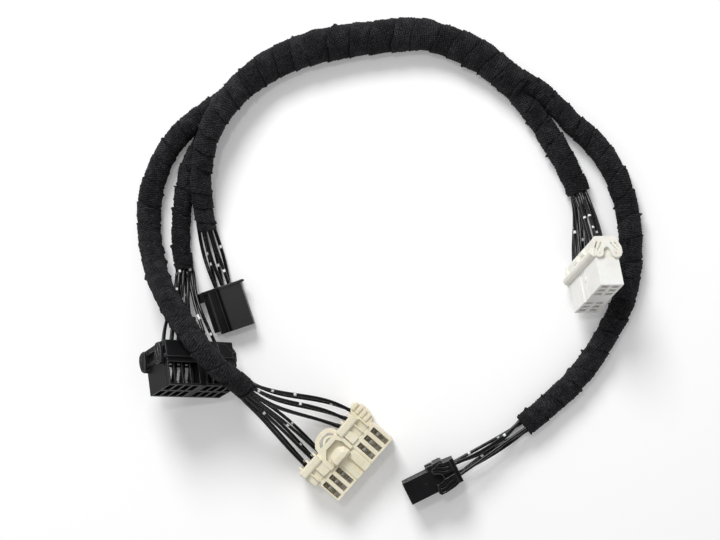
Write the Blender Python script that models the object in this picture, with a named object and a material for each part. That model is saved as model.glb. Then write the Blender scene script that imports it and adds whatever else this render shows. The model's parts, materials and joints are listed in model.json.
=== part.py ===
"""A vehicle wiring harness lying in an open ring, seen from above.

A cloth-taped trunk crosses the top of the ring and forks into three taped branches on the left and
two on the right. Each branch ends in a fan of insulated wires, and each wire ends in a terminal
inside one of five plastic connectors.

Places are read from an overhead photograph, whose pixels are turned into metres by spot().
"""

import itertools
import math

import bmesh
import bpy
import numpy as np
from mathutils import Matrix, Vector

# The overhead view that the places are read from.
SCALE = 0.47e-3
VIEW_HEIGHT = 0.9
VIEW_CENTRE = (360.0, 270.0)
ORIGIN_PIXEL = (389.85, 260.8)

# Taped bundles: diameters in metres.
TRUNK = 0.0153
BRANCH_A = 0.0094
BRANCH_B = 0.0087
BRANCH_C = 0.0108
BRANCH_D = 0.0112
BRANCH_E = 0.0110
BUNDLE_STEP = 0.0055
BUNDLE_ROUNDNESS = 3

# Wires and their terminals.
WIRE = 0.0016
WIRE_POINTS = 19
WIRE_ROUNDNESS = 2
WIRE_SPACING = 0.0020
TERMINAL = (0.0020, 0.0016, 0.0085)
TERMINAL_INSET = 0.0012
END_INSET = 0.62
SPREAD_ROUNDS = 400
SPREAD_PUSH = 0.3
SPREAD_LEVEL = 0.02

# Clearance between pieces that touch.
GAP = 0.0003
MM = 0.001

# Routes of the bundles: photo pixels, the height of the centre line in millimetres, and the width
# there as a share of the bundle's diameter.
TRUNK_ROUTE = [
    (237, 92, 7.55, 0.84), (249, 80, 7.55, 0.88), (264, 69.5, 7.55, 0.93), (281, 60, 7.55, 0.98),
    (301, 52, 7.55, 1.02), (324, 45.3, 7.55, 1.03), (348, 41, 7.55, 1.02), (372, 37.7, 7.55, 1.02),
    (396, 34.8, 7.55, 1.03), (415, 34, 7.55, 0.98), (433, 36.7, 7.55, 0.94), (451, 42.8, 7.55, 0.94),
    (468, 49.8, 7.55, 0.99), (484, 58.7, 7.55, 0.98), (498, 69.5, 7.55, 0.96), (511, 79.5, 7.55, 0.94),
    (523, 88, 7.55, 0.92),
]
ROUTE_A = [
    (254, 76, 9, 1.1), (238, 90, 11.8, 1.16), (220, 111, 13.8, 1.2), (208, 136, 14.3, 1.15),
    (202, 164, 12.8, 1.07), (201.3, 186, 10, 1.02), (203, 207, 6.6, 1), (207, 230.5, 4.55, 1),
]
ROUTE_B = [
    (252, 80, 6, 1), (236, 96, 5, 1), (222, 110, 4.25, 1), (211, 126, 4.2, 1), (200.5, 146, 4.2, 1),
    (191, 164, 4.2, 1), (185.5, 182, 4.2, 1), (182.5, 204, 4.2, 1), (181, 228, 4.2, 1),
    (181.5, 250, 4.2, 1), (184.5, 269, 4.2, 1),
]
ROUTE_C = [
    (246, 85, 7, 0.95), (228, 97, 6, 0.95), (210, 110, 5.3, 0.98), (195, 121.5, 5.3, 1),
    (181, 134, 5.3, 1), (170.5, 146, 5.3, 1), (160.5, 164, 5.3, 1), (153.5, 184, 5.3, 1.01),
    (149.5, 205, 5.3, 1.02), (149, 226, 6, 1.01), (151, 248, 9, 1), (156.5, 272, 15.5, 1),
    (166.5, 297, 24, 1), (181, 321, 32.5, 0.98), (198.5, 345, 38.5, 0.97), (216, 365, 38.5, 0.95),
    (231, 378, 35, 0.95), (246, 390, 29.5, 0.95),
]
ROUTE_D = [
    (502, 80, 7, 0.85), (513, 90, 6.4, 0.86), (524, 101.5, 5.6, 0.86), (533, 112, 5.4, 0.9),
    (541.5, 123.5, 5.4, 0.94), (550.5, 137, 5.4, 0.98), (565, 163, 5.4, 1), (574, 181, 5.4, 1),
    (578.5, 193, 5.4, 1),
]
ROUTE_E = [
    (508, 72, 7.6, 0.8), (521, 79, 7.6, 0.8), (532, 85.5, 7.2, 0.84), (542.5, 93.5, 6.2, 0.87),
    (554, 105, 5.4, 0.9), (573, 124, 5.4, 0.95), (596, 145, 5.4, 1), (611, 167, 5.4, 1),
    (621, 189, 5.4, 1), (627.5, 212, 5.4, 1.01), (630.5, 238, 5.4, 1.02), (630, 262, 5.4, 1.02),
    (623, 300, 5.4, 1), (605, 338, 5.4, 1), (580, 374, 5.4, 1), (552, 402, 5.4, 1),
    (523.5, 425.5, 5.4, 1),
]


def spot(px, py, height):
    """World point at this height, in metres, that the photograph shows at pixel (px, py)."""
    nearness = 1 - height / VIEW_HEIGHT
    x = VIEW_CENTRE[0] - ORIGIN_PIXEL[0] + (px - VIEW_CENTRE[0]) * nearness
    y = ORIGIN_PIXEL[1] - VIEW_CENTRE[1] - (py - VIEW_CENTRE[1]) * nearness
    return Vector((x * SCALE, y * SCALE, height))


def smooth(route, step):
    """Points at even steps along a Catmull-Rom curve through a route, each with its width share."""
    knots = np.array([(*spot(px, py, height * MM), share) for px, py, height, share in route])
    ends = np.vstack([2 * knots[0] - knots[1], knots, 2 * knots[-1] - knots[-2]])
    dense = []
    for a, b, c, d in zip(ends, ends[1:], ends[2:], ends[3:]):
        for t in np.arange(0, 1, 0.05):
            bend = (a - 2.5 * b + 2 * c - d / 2) * t**2 + (3 * b - a - 3 * c + d) * t**3 / 2
            dense.append(b + (c - a) * t / 2 + bend)
    dense = np.array([*dense, knots[-1]])
    run = np.concatenate([[0], np.cumsum(np.linalg.norm(np.diff(dense[:, :3], axis=0), axis=1))])
    places = np.linspace(0, run[-1], max(3, round(run[-1] / step)))
    return np.stack([np.interp(places, run, dense[:, k]) for k in range(4)], axis=1)


def clear_scene():
    for obj in list(bpy.data.objects):
        bpy.data.objects.remove(obj, do_unlink=True)


def new_collection(name):
    made = bpy.data.collections.new(name)
    bpy.context.scene.collection.children.link(made)
    return made


def material(name, colour, roughness, metallic=0.0):
    made = bpy.data.materials.new(name)
    made.use_nodes = True
    shader = made.node_tree.nodes["Principled BSDF"]
    shader.inputs["Base Color"].default_value = (*colour, 1)
    shader.inputs["Roughness"].default_value = roughness
    shader.inputs["Metallic"].default_value = metallic
    return made


def mesh_object(name, mesh, group, look=None, matrix=None):
    obj = bpy.data.objects.new(name, mesh)
    group.objects.link(obj)
    if look:
        mesh.materials.clear()
        mesh.materials.append(look)
    if matrix:
        obj.matrix_world = matrix
    return obj


def cutter(name, mesh, matrix=None):
    obj = mesh_object(name, mesh, cutters, matrix=matrix)
    obj.hide_render = True
    obj.display_type = "WIRE"
    return obj


def tube(name, points, diameter, roundness):
    """A capped tube, as a mesh, along points that each give the width as a share of the diameter."""
    curve = bpy.data.curves.new(name, "CURVE")
    curve.dimensions = "3D"
    curve.bevel_depth = diameter / 2
    curve.bevel_resolution = round(roundness)
    curve.use_fill_caps = True
    line = curve.splines.new("POLY")
    line.points.add(len(points) - 1)
    for target, (x, y, z, share) in zip(line.points, points):
        target.co = (x, y, z, 1)
        target.radius = share
    guide = bpy.data.objects.new(name, curve)
    bpy.context.scene.collection.objects.link(guide)
    bpy.context.view_layer.update()
    mesh = bpy.data.meshes.new_from_object(guide.evaluated_get(bpy.context.evaluated_depsgraph_get()))
    bpy.data.objects.remove(guide)
    bpy.data.curves.remove(curve)
    work = bmesh.new()
    work.from_mesh(mesh)
    bmesh.ops.remove_doubles(work, verts=work.verts, dist=1e-6)
    work.to_mesh(mesh)
    work.free()
    mesh.shade_smooth()
    mesh.set_sharp_from_angle(angle=math.radians(40))
    return mesh


def boxes(name, spans):
    """One mesh of boxes, each given as (x, y, z) pairs of limits in millimetres."""
    work = bmesh.new()
    for span in spans:
        centre = Vector([(low + high) / 2 * MM for low, high in span])
        size = [(high - low) * MM for low, high in span]
        bmesh.ops.create_cube(work, size=1, matrix=Matrix.Translation(centre) @ Matrix.Diagonal((*size, 1)))
    mesh = bpy.data.meshes.new(name)
    work.to_mesh(mesh)
    work.free()
    return mesh


def combine(obj, operation, mesh, name):
    """Adds a Boolean of this mesh, which shares the object's frame."""
    tool = cutter(obj.name + "." + name, mesh, obj.matrix_world)
    change = obj.modifiers.new(name, "BOOLEAN")
    change.operation = operation
    change.object = tool


def pose(pixel, along, facing, low, high):
    """Frame of a connector whose mating face is seen at this pixel, with z the way it faces.

    The box from low to high, in millimetres, holds the connector and stands on the floor.
    """
    z = Vector(facing).normalized()
    x = Vector(along)
    x = (x - x.dot(z) * z).normalized()
    turn = Matrix((x, z.cross(x), z)).transposed()
    drop = min((turn @ Vector(corner)).z for corner in itertools.product(*zip(low, high)))
    return Matrix.Translation(spot(*pixel, -drop * MM)) @ turn.to_4x4()


class Connector:
    """A moulded housing with two rows of cavities, one for each terminal.

    Its frame has x along the rows, y to the latch face and z out of the mating face. Inside the
    housing, places are in millimetres in that frame.
    """

    base = 0.0
    wave = 0.0

    def __init__(self, name, look, pixel, along, facing, size, rear, brim, bar, columns, cell):
        self.name = name
        self.look = look
        length, thick, self.depth = size
        self.half = (length / 2, thick / 2)
        self.back = -self.depth - rear
        self.brim = brim
        self.bar_span = bar
        self.sides = brim + self.wave
        self.columns = columns
        self.cell = cell
        self.rows = (thick / 4 - 0.2, 0.2 - thick / 4)
        low = (-self.half[0] - self.sides, -self.half[1] - self.base, self.back)
        high = (self.half[0] + self.sides, self.half[1] + brim, 0)
        self.matrix = pose(pixel, along, facing, low, high)

    def core(self):
        x, y = self.half
        mesh = boxes(self.name, [((-x, x), (-y, y), (self.back, 0))])
        return mesh_object(self.name, mesh, parts, self.look, self.matrix)

    def cavities(self):
        """A tunnel for each terminal, from the wire side to the mating face."""
        wide, tall = self.cell
        spans = []
        for column, row in itertools.product(self.columns, self.rows):
            across = (column - wide / 2, column + wide / 2)
            spans.append((across, (row - tall / 2, row + tall / 2), (self.back - 1, 1)))
        return boxes("cavities", spans)

    def entry(self, column, row):
        return Vector((self.columns[column], self.rows[row], self.back))


class Multiway(Connector):
    """A connector with its cavities in two groups, a latch between them and a collar at the rear."""

    base = 0.8
    wave = 0.6

    def build(self):
        obj = self.core()
        combine(obj, "UNION", self.collar(), "collar")
        combine(obj, "UNION", self.bar(), "bar")
        combine(obj, "UNION", self.ribs(), "ribs")
        combine(obj, "UNION", self.waves(), "waves")
        combine(obj, "UNION", self.latch(), "latch")
        combine(obj, "DIFFERENCE", self.cavities(), "cavities")
        combine(obj, "DIFFERENCE", self.windows(), "windows")
        combine(obj, "DIFFERENCE", self.notches(), "notches")

    def collar(self):
        x, y = self.half
        wide = x + self.brim
        span = (self.back + 0.8, -self.depth - 0.4)
        return boxes("collar", [((-wide, wide), (-y - self.base, y + 0.3), span)])

    def bar(self):
        """The raised bar across the rear of the latch face."""
        x, y = self.half
        wide = x + self.brim - 0.4
        return boxes("bar", [((-wide, wide), (y - 1, y + self.brim), self.bar_span)])

    def ribs(self):
        """Ribs from the bar down to the window face, beside each column."""
        y = self.half[1]
        near, far = self.bar_span
        middle = (self.back + 1 - self.depth) / 2
        rib_span = (far - 0.2, 0.2 - self.depth) if near < middle else (self.back + 1, near + 0.2)
        spans = []
        for column in self.columns:
            rib = column + math.copysign(2.1, column)
            spans.append(((rib - 0.45, rib + 0.45), (y - 1, y + self.brim - 0.6), rib_span))
        return boxes("ribs", spans)

    def waves(self):
        """Two ridges round the notch in each end of the collar."""
        x, y = self.half
        spans = []
        for side, ridge in itertools.product((-1, 1), (-1, 1)):
            ends = sorted((side * (x + 0.5), side * (x + self.sides)))
            centre = ridge * y * 0.66
            spans.append((ends, (centre - 0.7, centre + 0.7), (self.back + 3, 0.6 - self.depth)))
        return boxes("waves", spans)

    def latch(self):
        y = self.half[1]
        return boxes("latch", [((-2.5, 2.5), (y - 1, y + self.brim), (-self.depth - 2.5, 5 - self.depth))])

    def windows(self):
        """Slots in the latch face over the upper cavities, which show the terminals."""
        wide = self.cell[0] - 0.3
        y = self.half[1]
        spans = []
        for column in self.columns:
            across = (column - wide / 2, column + wide / 2)
            spans.append((across, (self.rows[0], y + 1), (1 - self.depth, -1.2)))
        return boxes("windows", spans)

    def notches(self):
        """The channel ahead of the latch, and a notch in each end of the collar."""
        x, y = self.half
        spans = [((-1.7, 1.7), (y - 1.2, y + 3), (5.5 - self.depth, 1))]
        for side in (-1, 1):
            ends = sorted((side * (x + 0.6), side * (x + self.brim + 2)))
            spans.append((ends, (-y * 0.36, y * 0.36), (self.back + 5, 1 - self.depth)))
        return boxes("notches", spans)


class Plug(Connector):
    """A plain plug with a lip round its rear, a sunk strip along one edge and a tab beside it."""

    def build(self):
        x, y = self.half
        obj = self.core()
        lip = ((-x - 0.1, x + self.brim), (-y, y + 0.5), (self.back + 0.3, self.back + 1.4))
        tab = ((-x - 4.2, 1 - x), (-y, y - 3), (self.back + 0.3, self.back + 5))
        strip = ((-x - 1, 4.4 - x), (y - 0.8, y + 1), (self.back + 1.6, 1))
        step = ((-x - 1, 4.4 - x), (-y - 1, y + 1), (-1.3, 1))
        combine(obj, "UNION", boxes("lip", [lip]), "lip")
        combine(obj, "UNION", boxes("tab", [tab]), "tab")
        combine(obj, "DIFFERENCE", boxes("strip", [strip]), "strip")
        combine(obj, "DIFFERENCE", boxes("step", [step]), "step")
        combine(obj, "DIFFERENCE", self.cavities(), "cavities")


def fan(prefix, route, diameter, connector, ways):
    """Wires from a bundle's end to a connector, each fused with its terminal.

    A way is the column and row of the wire's cavity, and how far its middle sways, in millimetres,
    along the rows and across them.
    """
    end = Vector(route[-1, :3])
    out = (end - Vector(route[-2, :3])).normalized()
    turn = connector.matrix.to_3x3()
    across = turn @ Vector((1, 0, 0))
    across = (across - across.dot(out) * out).normalized()
    side = out.cross(across)
    lines = []
    for (u, v), (column, row, sway, lift) in zip(slots(ways, diameter * route[-1, 3]), ways):
        start = end + out * GAP * 1.5 + across * u + side * v
        mouth = connector.matrix @ (connector.entry(column, row) * MM)
        reach = (mouth - start).length * 0.9
        bow = (across * sway + side * lift) * MM
        lines.append(hermite(start, out * reach, mouth, turn @ Vector((0, 0, reach)), bow))
    for number, (line, way) in enumerate(zip(spread(lines), ways), 1):
        wire(f"{prefix}_wire_{number:02d}", line[::2], connector, way[0], way[1])


def slots(ways, diameter):
    """Places of the wires in the bundle's end: two bowed rows, in the order of the cavities."""
    widest = diameter / 2 - END_INSET * WIRE
    places = []
    for column, row, _, _ in ways:
        mates = sorted(way[0] for way in ways if way[1] == row)
        share = 2 * mates.index(column) / (len(mates) - 1) - 1
        reach = min(widest, (len(mates) - 1) * WIRE_SPACING * 0.7)
        turned = 1 if row == 0 else -1
        u = share * reach - turned * (widest - reach)
        v = max(0.55 * WIRE_SPACING, 0.62 * math.sqrt(max(0, widest**2 - u**2)))
        places.append((u, turned * v))
    return places


def hermite(start, leave, end, arrive, bow):
    """Points of a cubic from start to end, bowed sideways in the middle."""
    points = []
    for index in range(WIRE_POINTS):
        t = index / (WIRE_POINTS - 1)
        place = start * (2 * t**3 - 3 * t**2 + 1) + leave * (t**3 - 2 * t**2 + t)
        place += end * (3 * t**2 - 2 * t**3) + arrive * (t**3 - t**2)
        points.append(place + bow * math.sin(math.pi * t))
    return points


def spread(lines):
    """Pushes wires apart wherever two of them are nearer than they can lie, and keeps them smooth."""
    points = np.array([[tuple(p) for p in line] for line in lines])
    wires, count = points.shape[:2]
    owner = np.repeat(np.arange(wires), count)
    others = owner[:, None] != owner[None, :]
    for _ in range(SPREAD_ROUNDS):
        flat = points.reshape(-1, 3)
        apart = flat[:, None] - flat[None, :]
        far = np.linalg.norm(apart, axis=2) + 1e-12
        short = np.where(others, np.clip(WIRE_SPACING - far, 0, None), 0)
        push = (apart / far[..., None] * short[..., None]).sum(axis=1).reshape(points.shape)
        level = (points[:, :-2] + points[:, 2:]) / 2 - points[:, 1:-1]
        points[:, 1:-1] += SPREAD_PUSH * push[:, 1:-1] + SPREAD_LEVEL * level
    return points


def wire(name, line, connector, column, row):
    mouth = connector.entry(column, row)
    deep = mouth + Vector((0, 0, 0.5 - connector.back - TERMINAL_INSET / MM - TERMINAL[2] / MM))
    points = [(*point, 1) for point in (*line, connector.matrix @ (deep * MM))]
    obj = mesh_object(name, tube(name, points, WIRE, WIRE_ROUNDNESS), parts, black_wire)
    x, y = mouth[0], mouth[1]
    wide, tall, long = (value / MM for value in TERMINAL)
    front = -TERMINAL_INSET / MM
    span = ((x - wide / 2, x + wide / 2), (y - tall / 2, y + tall / 2), (front - long, front))
    tool = cutter(name + ".terminal", boxes(name, [span]), connector.matrix)
    join = obj.modifiers.new("terminal", "BOOLEAN")
    join.operation = "UNION"
    join.object = tool


def bundle(name, route, diameter, cuts=()):
    """A taped bundle along a route, cut clear of the bundles that it meets at a fork."""
    points = smooth(route, BUNDLE_STEP)
    obj = mesh_object(name, tube(name, points, diameter, BUNDLE_ROUNDNESS), parts, tape)
    for other in cuts:
        change = obj.modifiers.new("clear of " + other.name, "BOOLEAN")
        change.operation = "DIFFERENCE"
        change.object = other
    return points


def around(name, route, diameter):
    """The space of a bundle and of the gap round it."""
    points = smooth(route, BUNDLE_STEP)
    for end, inner in ((points[0], points[1]), (points[-1], points[-2])):
        out = end[:3] - inner[:3]
        end[:3] += out / np.linalg.norm(out) * GAP
    points[:, 3] *= (diameter + 2 * GAP / points[:, 3].min()) / diameter
    return cutter(name, tube(name, points, diameter, BUNDLE_ROUNDNESS))


clear_scene()
parts = new_collection("wiring_harness")
cutters = new_collection("cutters")
tape = material("cloth_tape", (0.012, 0.012, 0.013), 0.9)
black_wire = material("wire_insulation", (0.01, 0.01, 0.011), 0.35)
black_plastic = material("black_plastic", (0.018, 0.018, 0.02), 0.45)
ivory_plastic = material("ivory_plastic", (0.78, 0.74, 0.62), 0.4)
white_plastic = material("white_plastic", (0.85, 0.85, 0.82), 0.4)

round_trunk = around("round_trunk", TRUNK_ROUTE, TRUNK)
round_a = around("round_branch_a", ROUTE_A, BRANCH_A)
round_b = around("round_branch_b", ROUTE_B, BRANCH_B)
round_e = around("round_branch_e", ROUTE_E, BRANCH_E)
bundle("taped_trunk", TRUNK_ROUTE, TRUNK)
line_a = bundle("taped_branch_a", ROUTE_A, BRANCH_A, [round_trunk])
line_b = bundle("taped_branch_b", ROUTE_B, BRANCH_B, [round_trunk, round_a])
line_c = bundle("taped_branch_c", ROUTE_C, BRANCH_C, [round_trunk, round_a, round_b])
line_d = bundle("taped_branch_d", ROUTE_D, BRANCH_D, [round_e, round_trunk])
line_e = bundle("taped_branch_e", ROUTE_E, BRANCH_E, [round_trunk])

connector_a = Plug(
    "connector_a_housing", black_plastic, (235, 330), (0.947, 0.321, 0), (0.321, -0.947, 0),
    size=(19.5, 9.6, 14.0), rear=7.5, brim=0.8, bar=None, columns=[-2.1, 1.1, 4.3], cell=(2.6, 3.0),
)
connector_b = Multiway(
    "connector_b_housing", black_plastic, (195.0, 391.5), (0.821, -0.060, -0.567), (0.15, -0.936, 0.317),
    size=(36.2, 18.5, 13.4), rear=8.0, brim=1.3, bar=(-21.0, -17.4),
    columns=[-15.8, -11.6, -7.4, -3.6, 3.6, 7.4, 11.6, 15.8], cell=(3.0, 5.2),
)
connector_c = Multiway(
    "connector_c_housing", ivory_plastic, (365.5, 469), (0.66, 0.75, 0), (0.75, -0.66, 0),
    size=(37.8, 15.0, 12.1), rear=9.5, brim=2.2, bar=(-21.2, -17.4),
    columns=[-16.6, -12.0, -7.4, 7.4, 12.0, 16.6], cell=(2.8, 4.6),
)
connector_d = Multiway(
    "connector_d_housing", white_plastic, (599, 299), (0.275, 0.415, 0.868), (0.131, -0.91, 0.393),
    size=(32.0, 11.3, 12.8), rear=11.0, brim=1.6, bar=(-18.6, -13.6),
    columns=[-13.2, -9.2, -5.2, 5.2, 9.2, 13.2], cell=(2.7, 3.4),
)
connector_e = Multiway(
    "connector_e_housing", black_plastic, (407, 493), (0, 0, 1), (-0.895, -0.446, 0),
    size=(14.0, 11.8, 15.2), rear=11.0, brim=1.6, bar=(-21.0, -16.0),
    columns=[-4.2, 0.0, 4.2], cell=(2.7, 3.4),
)
for connector in (connector_a, connector_b, connector_c, connector_d, connector_e):
    connector.build()

fan("a", line_a, BRANCH_A, connector_a, [
    (0, 0, -0.6, 0), (0, 1, 0.5, 0), (1, 0, -0.5, 0.3), (1, 1, 0.9, 0), (2, 0, 0.1, 0), (2, 1, 1.2, 0),
])
fan("b", line_b, BRANCH_B, connector_b, [
    (0, 0, -0.5, 0), (1, 1, -0.5, 0), (1, 0, 0, 0.5), (2, 1, 0, 0), (3, 0, 0, 0),
    (3, 1, 0, 0), (4, 1, -1, 0), (5, 0, -2, 0), (5, 1, -4, 0), (6, 0, -4.5, 3),
])
fan("c", line_c, BRANCH_C, connector_c, [
    (0, 0, 0, 0.5), (0, 1, 1.2, 0), (1, 0, 0.4, 0.3), (1, 1, 1.8, 0), (2, 0, 0.6, 0.5), (2, 1, 2, -1),
    (3, 0, -2.2, 0.8), (3, 1, -3.6, 1.2), (4, 0, -0.4, 0.3), (4, 1, -3, 0), (5, 0, 1.2, 0.5), (5, 1, -1.4, 0),
])
fan("d", line_d, BRANCH_D, connector_d, [
    (0, 0, 0, 0), (0, 1, 0, 0), (1, 0, 0, 0.4), (1, 1, 0, 0), (2, 0, 0, 0),
    (3, 0, 0.6, 0), (3, 1, 0.7, 0), (4, 0, 0, 0.4), (4, 1, 0.5, 0), (5, 0, 0, 0),
])
fan("e", line_e, BRANCH_E, connector_e, [
    (0, 0, 0, 0.6), (0, 1, 0, -0.4), (1, 0, 0, -3), (1, 1, 0, 2.6), (2, 0, 0, -1.4), (2, 1, 0, 0.9),
])
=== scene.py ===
"""Looks of the wiring harness: cloth tape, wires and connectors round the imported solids."""

import itertools
import json
import math

import bmesh
import bpy
import numpy as np
from mathutils import Matrix, Vector
from mathutils.geometry import intersect_point_line

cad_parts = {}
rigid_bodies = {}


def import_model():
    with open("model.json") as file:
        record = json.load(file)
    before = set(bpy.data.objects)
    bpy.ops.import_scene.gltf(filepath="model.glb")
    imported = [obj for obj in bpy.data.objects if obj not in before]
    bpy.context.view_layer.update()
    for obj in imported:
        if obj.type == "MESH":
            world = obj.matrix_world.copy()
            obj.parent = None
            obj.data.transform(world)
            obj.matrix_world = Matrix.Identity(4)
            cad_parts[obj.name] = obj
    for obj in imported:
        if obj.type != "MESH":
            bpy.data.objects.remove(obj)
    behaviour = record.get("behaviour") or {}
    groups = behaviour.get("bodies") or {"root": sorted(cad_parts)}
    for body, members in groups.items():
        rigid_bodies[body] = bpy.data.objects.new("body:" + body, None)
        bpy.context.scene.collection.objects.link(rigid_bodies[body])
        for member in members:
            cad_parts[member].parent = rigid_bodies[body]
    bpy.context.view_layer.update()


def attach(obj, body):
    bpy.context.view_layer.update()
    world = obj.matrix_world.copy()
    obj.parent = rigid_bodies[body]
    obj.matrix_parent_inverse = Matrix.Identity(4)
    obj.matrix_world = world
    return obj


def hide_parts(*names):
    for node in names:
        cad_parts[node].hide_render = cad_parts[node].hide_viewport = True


for obj in list(bpy.data.objects):
    bpy.data.objects.remove(obj, do_unlink=True)
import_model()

# The overhead view that the places are read from.
SCALE = 0.47e-3
VIEW_HEIGHT = 0.9
VIEW_CENTRE = (360.0, 270.0)
ORIGIN_PIXEL = (389.85, 260.8)
SENSOR = 36.0
PHOTO_WIDTH = 720
MM = 0.001
GAP = 0.0003

# Routes as in the part: photo pixels, height of the centre line and width, both in millimetres.
ROUTE_MAIN = [
    (207, 230.5, 4.75, 9.3), (203, 207, 6.6, 9.5), (201.3, 186, 10, 9.7), (202, 164, 12.8, 10.1),
    (208, 136, 14, 10.9), (220, 111, 13.4, 11.9), (234, 94.5, 11.6, 12.8), (249, 80.5, 9.7, 13.5),
    (264, 69.5, 8.3, 14.2), (281, 60, 7.7, 15), (301, 52, 7.7, 15.5), (324, 45.3, 7.8, 15.7),
    (348, 41, 7.7, 15.6), (372, 37.7, 7.7, 15.6), (396, 34.8, 7.7, 15.7), (415, 34, 7.6, 15),
    (433, 36.7, 7.5, 14.4), (451, 42.8, 7.5, 14.4), (468, 49.8, 7.6, 15.1), (484, 58.7, 7.6, 15),
    (498, 69.5, 7.55, 14.7), (511, 79.5, 7.55, 14.4), (522, 87.5, 7.55, 14.2),
]
ROUTE_B = [
    (245, 87, 6, 8.7), (236, 96, 5, 8.7), (222, 110, 4.4, 8.7), (211, 126, 4.35, 8.7),
    (200.5, 146, 4.35, 8.7), (191, 164, 4.35, 8.7), (185.5, 182, 4.35, 8.7), (182.5, 204, 4.35, 8.7),
    (181, 228, 4.35, 8.7), (181.5, 250, 4.35, 8.7), (184.5, 269, 4.35, 8.7),
]
ROUTE_C = [
    (246, 85, 7, 10.3), (228, 97, 6, 10.3), (210, 110, 5.4, 10.6), (195, 121.5, 5.4, 10.8),
    (181, 134, 5.4, 10.8), (170.5, 146, 5.4, 10.8), (160.5, 164, 5.4, 10.8), (153.5, 184, 5.5, 10.9),
    (149.5, 205, 5.5, 11), (149, 226, 6.1, 10.9), (151, 248, 9, 10.8), (156.5, 272, 15.5, 10.8),
    (166.5, 297, 24, 10.8), (181, 321, 32.5, 10.6), (198.5, 345, 38.5, 10.5), (216, 365, 38.5, 10.3),
    (231, 378, 35, 10.2), (246, 390, 29.5, 10.1),
]
ROUTE_D = [
    (502, 80, 7, 9.5), (513, 90, 6.4, 9.6), (524, 101.5, 5.7, 9.6), (533, 112, 5.5, 10.1),
    (541.5, 123.5, 5.5, 10.5), (550.5, 137, 5.6, 11), (565, 163, 5.6, 11.2), (574, 181, 5.6, 11.2),
    (578.5, 193, 5.6, 11.1),
]
ROUTE_E = [
    (508, 72, 7.6, 8.8), (521, 79, 7.6, 8.8), (532, 85.5, 7.2, 9.2), (542.5, 93.5, 6.2, 9.6),
    (554, 105, 5.5, 9.9), (573, 124, 5.5, 10.5), (596, 145, 5.6, 11), (611, 167, 5.6, 11),
    (621, 189, 5.6, 11), (627.5, 212, 5.6, 11.1), (630.5, 238, 5.65, 11.2), (630, 262, 5.65, 11.2),
    (623, 300, 5.6, 11), (605, 338, 5.6, 11), (580, 374, 5.6, 11), (552, 402, 5.6, 11),
    (523.5, 425.5, 5.6, 11),
]

# Cloth tape in millimetres: 19 wide and half-lapped, so that an edge shows about every 9.
RING_STEP = 0.34
LAP_STEP = 9.2
TAPE_THICKNESS = 0.34
TAPE_SINK = 0.18
END_SINK = 0.35
END_DOME = 1.4
LOWEST = 0.02
THREAD_PITCHES = {"X": 0.95, "Y": 1.05}

# Colours of the cloth: between its threads, on them, on frayed lap edges (lighter there as a painted
# highlight), in lint, and the painted shade under a lap's edge.
CLOTH_DEEP = (0.0025, 0.0025, 0.003, 1)
CLOTH_BRIGHT = (0.042, 0.042, 0.048, 1)
CLOTH_EDGE_HIGHLIGHT = (0.05, 0.05, 0.055, 1)
CLOTH_LINT = (0.14, 0.14, 0.145, 1)
CLOTH_SEAM_SHADE = (0.0008, 0.0008, 0.001, 1)

# Colours of the wires and their ticks.
WIRE_DEEP = (0.0015, 0.0015, 0.002, 1)
WIRE_BRIGHT = (0.004, 0.004, 0.005, 1)
TICK_COLOUR = (0.86, 0.87, 0.88, 1)

# Wires, in metres, as in the part: width, least distance, and how far they start inside the bundle.
WIRE = 0.0016
WIRE_SPACING = 0.0020
WIRE_TUCK = 0.004

# How wires leave a bundle's end, in wire widths from its edge, and how they are pushed apart on the way.
END_INSET = 0.62
WIRE_POINTS = 19
SPREAD_ROUNDS = 400
SPREAD_PUSH = 0.3
SPREAD_LEVEL = 0.02

# A wire's mesh, its reach past the cavity's entry and half a tick's length, in millimetres.
WIRE_SIDES = 16
WIRE_STEP = 0.42
WIRE_PAST_ENTRY = 6
TICK_HALF = 0.62

# Edges of a moulding that are sharper than this are rounded.
SHARP = math.radians(25)

# Thickness of the terminals' metal, in millimetres.
TERMINAL_THICKNESS = 0.35

# Levels of the surroundings, and the floor's colour, glow and half width in metres.
WORLD_LEVEL = 0.44
OVERHEAD_LEVEL = 0.15
FLOOR_COLOUR = (0.93, 0.93, 0.935)
FLOOR_GLOW = 0.12
FLOOR_HALF = 1.6

# Printed ticks on the wires, as photo pixels.
TICKS = [
    (219, 247), (207, 254), (209, 264), (217, 265.5), (224, 271), (178.6, 271.6), (185.8, 272.8),
    (190.7, 269.4), (177.5, 290), (186.4, 295.2), (182.3, 299), (198.7, 316), (195.8, 320),
    (204.4, 335.4), (212.2, 333.6), (258, 391.6), (271.8, 390.3), (294.7, 394.9), (299.6, 404.4),
    (330.3, 406.5), (329.9, 416.4), (264, 412.3), (287.6, 423.9), (292.2, 422.2), (300.9, 443.4),
    (312.5, 453.7), (305.8, 459.6), (585.7, 193.4), (587.5, 201), (584.8, 217.9), (590.4, 216.2),
    (594.2, 227.3), (598.2, 232.2), (581.9, 239.8), (573.2, 228.2), (576.3, 232.7), (496.5, 435),
    (469.7, 454), (481.3, 455.5), (516.5, 420.3), (504.4, 435),
]
# For each tick, the wire that shows it best and the place on it.
TICK_OWNERS = {}


def spot(px, py, height):
    """World point at this height, in metres, that the photograph shows at pixel (px, py)."""
    nearness = 1 - height / VIEW_HEIGHT
    x = VIEW_CENTRE[0] - ORIGIN_PIXEL[0] + (px - VIEW_CENTRE[0]) * nearness
    y = ORIGIN_PIXEL[1] - VIEW_CENTRE[1] - (py - VIEW_CENTRE[1]) * nearness
    return Vector((x * SCALE, y * SCALE, height))


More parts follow.
